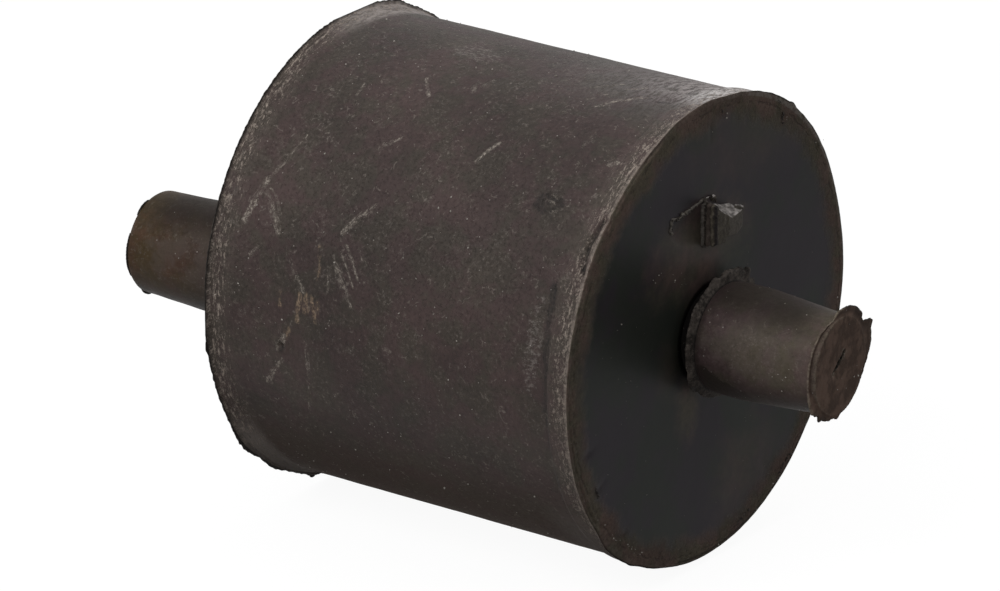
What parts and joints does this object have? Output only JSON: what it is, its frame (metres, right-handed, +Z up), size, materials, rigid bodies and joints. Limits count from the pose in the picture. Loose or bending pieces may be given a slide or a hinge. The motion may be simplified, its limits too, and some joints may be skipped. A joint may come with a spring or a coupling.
{
  "type": "engine mount",
  "caption": "Round moulded rubber engine mount: a thick solid block with a tapered rubber pin on each end face, one on its axis and one set to the side.",
  "frame": {"origin": "middle of the round block, on its axis and halfway between its two end faces", "axes": "+X along the block's axis, out through the front pin; +Z up, towards the torn lug on the front face; the rear pin stands to the -Y side"},
  "size_m": [0.1081, 0.0698, 0.0698],
  "materials": {
    "black_rubber": "dull worn black-brown moulded rubber"
  },
  "bodies": {
    "root": {"rubber_mount": "black_rubber"}
  },
  "joints": []
}
